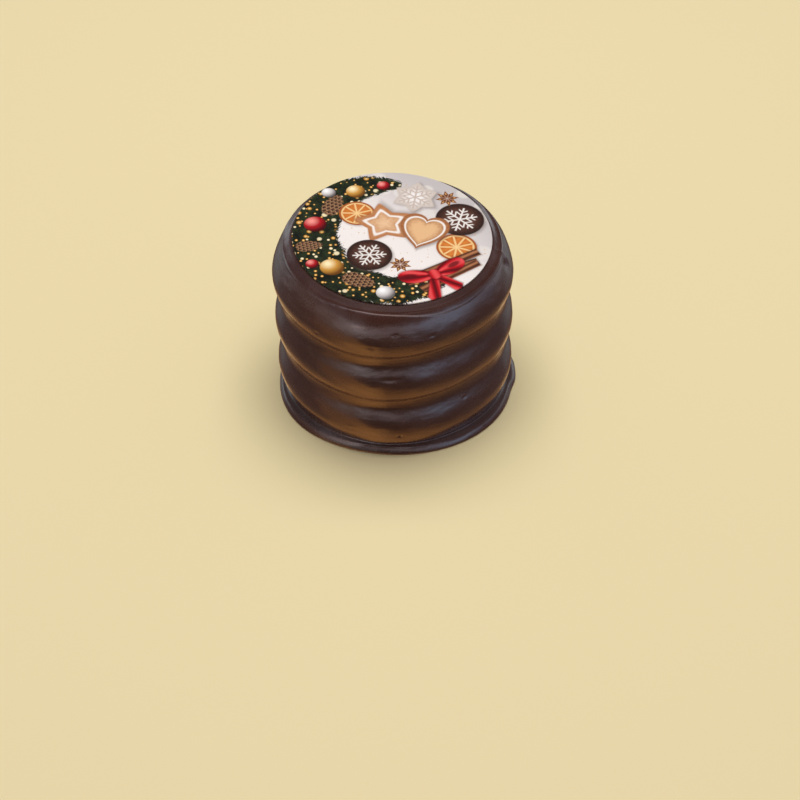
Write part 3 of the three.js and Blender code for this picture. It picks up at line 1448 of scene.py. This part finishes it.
    def turn(self, rule: GeometryRule, foot: Vector) -> Value:
        """Turns the outline into a closed body, and makes that uneven.

        Args:
            rule: The tree that is being made.
            foot: Where the cake's axis meets the ground.

        Returns:
            The body.
        """
        sizes = {
            "Ring radius": self.ring_radius,
            "Ring pitch": self.ring_pitch,
            "First ring height": self.first_ring_height,
            "Bulge radius": self.bulge_radius,
            "Core radius": self.core_radius,
            "Foot lip": self.foot_lip,
        }
        sizes = {name: rule.size(name, value) for name, value in sizes.items()}
        rows = self.curl_rows + self.side_rows + self.shoulder_rows + self.rim_rows + 2
        columns = rule.count("Azimuth steps", self.azimuth_steps + 1)
        grid = rule.node("GeometryNodeMeshGrid", {}, {0: 1.0, 1: float(rows), 2: columns, 3: rows + 1})
        across, up, _ = rule.parts(rule.node("GeometryNodeInputPosition"))
        azimuth = across * (2 * math.pi)
        radius, height = self.outline(rule, up + rows / 2, sizes)
        swell = rule.smooth(radius, self.smooth_radius, self.base_radius)
        radius = radius + swell * self.swelling(rule, azimuth, height)
        x, y = radius * rule.cosine(azimuth), radius * rule.sine(azimuth)
        uneven = self.uneven
        outside = rule.smooth(radius, self.flat_radius, self.flat_radius + uneven.slope_margin)
        sloping = (height > self.top_ring_height) * (1.0 - outside)
        slope = sloping * (x * uneven.slope_x + y * uneven.slope_y)
        place = rule.vector(x + height * uneven.lean + foot.x, y + foot.y, height + slope)
        turned = rule.node("GeometryNodeSetPosition", {}, {"Geometry": grid, "Position": place})
        return rule.node("GeometryNodeMergeByDistance", {}, {"Geometry": turned, "Distance": TINY})

    def coat(self, rule: GeometryRule, body: Value, foot: Vector) -> Value:
        """Gives the body the fine relief of its coating, and the amount of bloom and painted highlight
        that the finish reads.

        Args:
            rule: The tree that is being made.
            body: The turned body.
            foot: Where the cake's axis meets the ground.

        Returns:
            The coated body.
        """
        point = rule.node("GeometryNodeInputPosition")
        x, y, height = rule.parts(point)
        across, along = x - foot.x - height * self.uneven.lean, y - foot.y
        reach = rule.reach(across, along)
        level = rule.stretched(point, 1, 1, self.wander_flatness)
        wander = rule.noise(level, self.wander_size, 1)
        place = Place(point, rule.math("ARCTAN2", along, across), reach, height, wander)
        shown = rule.smooth(height, *self.relief_bottom) * rule.smooth(reach, *self.relief_start)
        sockets = {0: rule.node("GeometryNodeInputNormal"), "Scale": self.relief(rule, place) * shown}
        offset = rule.node("ShaderNodeVectorMath", {"operation": "SCALE"}, sockets)
        coated = rule.node("GeometryNodeSetPosition", {}, {"Geometry": body, "Offset": offset})
        return rule.store(coated, "haze_and_highlight", self.haze_and_highlight(rule, place))

    def build(self, finish: Chocolate) -> bpy.types.Object:
        """Makes the cake and dresses it.

        Args:
            finish: The coating's finish.

        Returns:
            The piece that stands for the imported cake.
        """
        rule = GeometryRule("turned_cake")
        foot = self.axis_foot()
        coated = self.coat(rule, self.turn(rule, foot), foot)
        smooth = rule.node("GeometryNodeSetShadeSmooth", {}, {"Geometry": coated})
        return add_piece("coated_cake", rule.mesh(smooth, finish.material()), Slot.CHOCOLATE, "cake")


# ---------------------------------------------------------------------------------------------------
# The sugar disc.


@dataclass
class SugarDisc:
    """The round sugar disc that lies on the sloping top."""

    cake: CoatedCake
    radius: float = 49.2 * MM
    thickness: float = 0.8 * MM
    gap: float = 0.3 * MM
    edge_round: float = 0.25 * MM
    azimuth_steps: int = 256
    rings: int = 24
    edge_rows: int = 5

    @property
    def middle(self) -> Vector:
        """The middle of the disc's underside in the model's frame."""
        top = self.cake.top_height
        return self.cake.axis_foot() + Vector((self.cake.uneven.lean * top, 0.0, top + self.gap))

    def lay(self, flat: np.ndarray) -> np.ndarray:
        """Lays points that are measured on a level disc on the sloping top of the cake.

        Args:
            flat: Rows of x, y and the height above the disc's underside.

        Returns:
            The same points in the model's frame.
        """
        uneven = self.cake.uneven
        placed = flat + np.array(self.middle)
        placed[:, 2] += flat[:, 0] * uneven.slope_x + flat[:, 1] * uneven.slope_y
        return placed

    def outline(self) -> list[tuple[float, float]]:
        """Works out the disc's outline.

        Returns:
            Radius and height of each row, from the middle of the underside to that of the top.
        """
        inner = self.radius - self.edge_round
        edge = []
        for corner, middle in enumerate((self.edge_round, self.thickness - self.edge_round)):
            for step in range(self.edge_rows):
                turn = (corner - 1 + step / (self.edge_rows - 1)) * math.pi / 2
                radius = inner + self.edge_round * math.cos(turn)
                edge.append((radius, middle + self.edge_round * math.sin(turn)))
        across = [inner * ring / self.rings for ring in range(self.rings)]
        return [(r, 0.0) for r in across] + edge + [(r, self.thickness) for r in reversed(across)]

    def build(self, finish: PrintedSugar) -> bpy.types.Object:
        """Makes the disc and dresses it.

        Args:
            finish: The printed sugar paste's finish.

        Returns:
            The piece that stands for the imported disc.
        """
        rows = self.outline()
        steps = self.azimuth_steps
        turns = np.arange(steps) * 2 * math.pi / steps
        circle = np.column_stack([np.cos(turns), np.sin(turns)])
        rings = [np.column_stack([circle * radius, np.full(steps, height)]) for radius, height in rows]
        places = self.lay(np.concatenate([rings[0][:1], *rings[1:-1], rings[-1][:1]]))
        last = len(places) - 1
        faces = []
        for step in range(steps):
            onward = (step + 1) % steps
            faces.append((0, 1 + onward, 1 + step))
            for row in range(len(rows) - 3):
                low, high = 1 + row * steps, 1 + (row + 1) * steps
                faces.append((low + step, low + onward, high + onward, high + step))
            high = 1 + (len(rows) - 3) * steps
            faces.append((high + step, high + onward, last))
        mesh = bpy.data.meshes.new("printed_disc")
        mesh.from_pydata(places.tolist(), [], faces)
        mesh.shade_smooth()
        mesh.materials.append(finish.material())
        return add_piece("printed_disc", mesh, Slot.SUGAR, "sugar_disc")


# ---------------------------------------------------------------------------------------------------
# Studio.


@dataclass(frozen=True)
class SoftBox:
    """A flat soft light over the cake's foot, which isn't seen itself."""

    name: str
    place: tuple[float, float, float]
    wide: float
    high: float
    power: float

    def build(self) -> None:
        """Hangs the light."""
        light = bpy.data.lights.new(self.name, "AREA")
        light.shape = "RECTANGLE"
        light.size, light.size_y = self.wide, self.high
        light.energy = self.power
        lamp = bpy.data.objects.new(self.name, light)
        lamp.location = self.place
        lamp.rotation_euler = (-lamp.location).to_track_quat("-Z", "Y").to_euler()
        lamp.visible_camera = False
        lamp.visible_glossy = False
        bpy.context.scene.collection.objects.link(lamp)


@dataclass(frozen=True)
class Room:
    """The soft surroundings that only the glossy coating mirrors, read by the way a ray goes.

    Daylight lies round the horizon in a band: warm on the left, cool on the right and grey behind, with
    a window at the front left. The ground round the cake throws warm light up, most of it at the front
    left, and is grey behind the cake, where it warms again further down. Elsewhere the room is dim, and
    a little lighter at the sides and overhead. Colours are linear, and limits say where a light begins
    and where it is full.
    """

    backdrop: tuple = srgb(226, 222, 210)
    dim: tuple = (0.06, 0.045, 0.04, 1)
    side_dim: tuple = (0.18, 0.12, 0.115, 1)
    glow: tuple = (0.25, 0.24, 0.26, 1)
    overhead: tuple = (0.4, 0.38, 0.4, 1)
    daylight: tuple = (1.4, 1.15, 1.2, 1)
    warm_daylight: tuple = (0.95, 0.68, 0.6, 1)
    cool_daylight: tuple = (1.3, 1.65, 2.3, 1)
    grey_daylight: tuple = (1.25, 1.35, 1.45, 1)
    window: tuple = (3.0, 2.8, 2.9, 1)
    bounce: tuple = (0.9, 0.39, 0.12, 1)
    left_bounce: tuple = (1.0, 0.43, 0.13, 1)
    side_bounce: tuple = (0.32, 0.18, 0.085, 1)
    gilt: tuple = (1.7, 0.74, 0.21, 1)
    behind: tuple = (0.36, 0.38, 0.39, 1)
    glance: tuple = (1.2, 0.8, 0.4, 1)
    aside: Limits = (0.15, 0.85)
    day_side: Limits = (0.1, 0.8)
    day_back: Limits = (-0.1, 0.5)
    band_height: float = 0.05
    band_width: float = 0.1
    side_width: float = 0.19
    band_ends: Limits = (0.1, 0.6)
    band_gap: float = 0.36
    window_side: float = -0.53
    window_width: float = 0.27
    window_light: float = 0.7
    glow_rise: Limits = (0.0, 0.35)
    overhead_rise: Limits = (0.8, 0.95)
    bounce_level: float = 0.95
    bounce_fall: Limits = (0.45, 0.95)
    bounce_left: Limits = (0.0, 0.25)
    gilt_left: Limits = (0.0, 0.2)
    gilt_fade: Limits = (0.3, 0.75)
    gilt_loss: float = 0.6
    gilt_front: Limits = (0.1, 0.45)
    gilt_start: float = 0.5
    gilt_lift: Limits = (0.2, 0.7)
    gilt_rise: float = 0.4
    gilt_fall: Limits = (0.0, 0.2)
    behind_back: Limits = (0.35, 0.65)
    behind_side: Limits = (0.2, 0.45)
    behind_low: Limits = (-0.6, -0.35)
    behind_high: Limits = (-0.2, 0.05)
    glance_back: Limits = (0.46, 0.66)
    glance_fall: Limits = (0.62, 0.74)
    patch_size: float = 0.3
    patchiness: float = 0.4

    def day(self, graph: Graph, x: Value, y: Value) -> Value:
        """Colours the daylight round the horizon.

        Args:
            graph: The world's tree.
            x: How far right a ray goes.
            y: How far back it goes.

        Returns:
            The colour of the daylight there.
        """
        day = graph.mix(graph.smooth(-x, *self.day_side), self.daylight, self.warm_daylight)
        day = graph.mix(graph.smooth(x, *self.day_side), day, self.cool_daylight)
        day = graph.mix(graph.smooth(y, *self.day_back), day, self.grey_daylight)
        window = graph.bell(x - self.window_side, self.window_width) * -y * self.window_light
        return graph.mix(graph.clamp(window), day, self.window)

    def ground(self, graph: Graph, lit: Value, way: tuple[Value, Value, Value], patches: Value) -> Value:
        """Adds the light that the ground throws up.

        Args:
            graph: The world's tree.
            lit: The room without it.
            way: How far right, back and up a ray goes.
            patches: Soft patches over the room.

        Returns:
            The room with the light.
        """
        x, y, z = way
        below = graph.smooth(-z, *self.bounce_fall) * (self.bounce_level + patches)
        front = graph.mix(graph.smooth(-x, *self.bounce_left), self.bounce, self.left_bounce)
        front = graph.mix(graph.smooth(abs(x), *self.aside), front, self.side_bounce)
        lit = graph.mix(below, lit, front)
        start = self.gilt_start - graph.smooth(-x, *self.gilt_lift) * self.gilt_rise
        gilt = graph.smooth(-y, *self.gilt_front) * graph.smooth(-z - start, *self.gilt_fall)
        gilt = gilt * (1.0 - graph.smooth(-x, *self.gilt_fade) * self.gilt_loss)
        gilt = gilt * graph.smooth(-x, *self.gilt_left)
        lit = graph.mix(gilt, lit, self.gilt)
        behind = graph.smooth(y, *self.behind_back) * graph.smooth(abs(x), *self.behind_side)
        behind = behind * graph.smooth(z, *self.behind_low)
        behind = behind * (1.0 - graph.smooth(z, *self.behind_high))
        lit = graph.mix(behind, lit, self.behind)
        glance = graph.smooth(y, *self.glance_back) * graph.smooth(-z, *self.glance_fall)
        return graph.mix(glance, lit, self.glance)

    def build(self) -> bpy.types.World:
        """Builds the world.

        Returns:
            The world, which the camera itself sees as a plain backdrop.
        """
        world = bpy.data.worlds.new("soft_room")
        world.use_nodes = True
        graph = Graph(world.node_tree)
        away = graph.node("ShaderNodeTexCoord", output="Generated")
        x, y, z = graph.parts(away)
        patches = graph.noise(away, self.patch_size, 1) * self.patchiness
        aside = graph.smooth(abs(x), *self.aside)
        width = aside * (self.side_width - self.band_width) + self.band_width
        band = graph.bell(z - self.band_height, width) * (1.0 + patches)
        band = band * (self.band_gap + (1 - self.band_gap) * graph.smooth(abs(y), *self.band_ends))
        lit = graph.mix(aside, self.dim, self.side_dim)
        lit = graph.mix(graph.smooth(z, *self.glow_rise) * aside, lit, self.glow)
        lit = graph.mix(band, lit, self.day(graph, x, y))
        lit = graph.mix(graph.smooth(z, *self.overhead_rise), lit, self.overhead)
        lit = self.ground(graph, lit, (x, y, z), patches)
        seen = graph.node("ShaderNodeLightPath", output="Is Camera Ray")
        graph.feed(world.node_tree.nodes["Background"], {"Color": graph.mix(seen, lit, self.backdrop)})
        return world


@dataclass
class Studio:
    """A plain pale floor, plain soft light and the photograph's camera."""

    axis_foot: Vector
    room: Room
    camera_offset: tuple[float, float, float] = (1.9 * MM, -741.95 * MM, 675.03 * MM)
    camera_pitch: float = 43.0
    sensor: float = 36.0
    lens: float = 86.1
    clip: Limits = (0.01, 50.0)
    floor_half: float = 6.0
    floor_colour: tuple = srgb(236, 220, 172)
    floor_roughness: float = 0.6
    floor_specular: float = 0.2
    lights: tuple[SoftBox, ...] = (
        SoftBox("overhead", (0.0, 0.25, 1.9), 1.6, 1.6, 34.0),
    )

    def build(self) -> None:
        """Lays the floor, hangs the lights and sets up the camera."""
        self.lay_floor()
        for light in self.lights:
            light.build()
        scene = bpy.context.scene
        scene.world = self.room.build()
        scene.view_settings.view_transform = "Standard"
        camera = bpy.data.cameras.new("camera")
        camera.sensor_width, camera.lens = self.sensor, self.lens
        camera.clip_start, camera.clip_end = self.clip
        holder = bpy.data.objects.new("camera", camera)
        holder.location = self.axis_foot + Vector(self.camera_offset)
        holder.rotation_euler = (math.radians(90 - self.camera_pitch), 0.0, 0.0)
        scene.collection.objects.link(holder)
        scene.camera = holder

    def lay_floor(self) -> None:
        """Lays the floor, a plain matt sheet."""
        half = self.floor_half
        mesh = bpy.data.meshes.new("floor")
        corners = [(-half, -half, 0.0), (half, -half, 0.0), (half, half, 0.0), (-half, half, 0.0)]
        mesh.from_pydata(corners, [], [(0, 1, 2, 3)])
        material, shader = new_material("pale_floor")
        shader.inputs["Base Color"].default_value = self.floor_colour
        shader.inputs["Roughness"].default_value = self.floor_roughness
        shader.inputs["Specular IOR Level"].default_value = self.floor_specular
        mesh.materials.append(material)
        floor = bpy.data.objects.new("floor", mesh)
        floor.visible_glossy = False
        bpy.context.scene.collection.objects.link(floor)


def main() -> None:
    """Builds the cake, its disc and the studio."""
    logging.basicConfig(level=logging.INFO, format="%(name)s: %(message)s")
    cake = CoatedCake()
    cake.build(Chocolate())
    disc = SugarDisc(cake)
    disc.build(PrintedSugar(disc.middle))
    Studio(cake.axis_foot(), Room()).build()


if __name__ == "__main__":
    main()
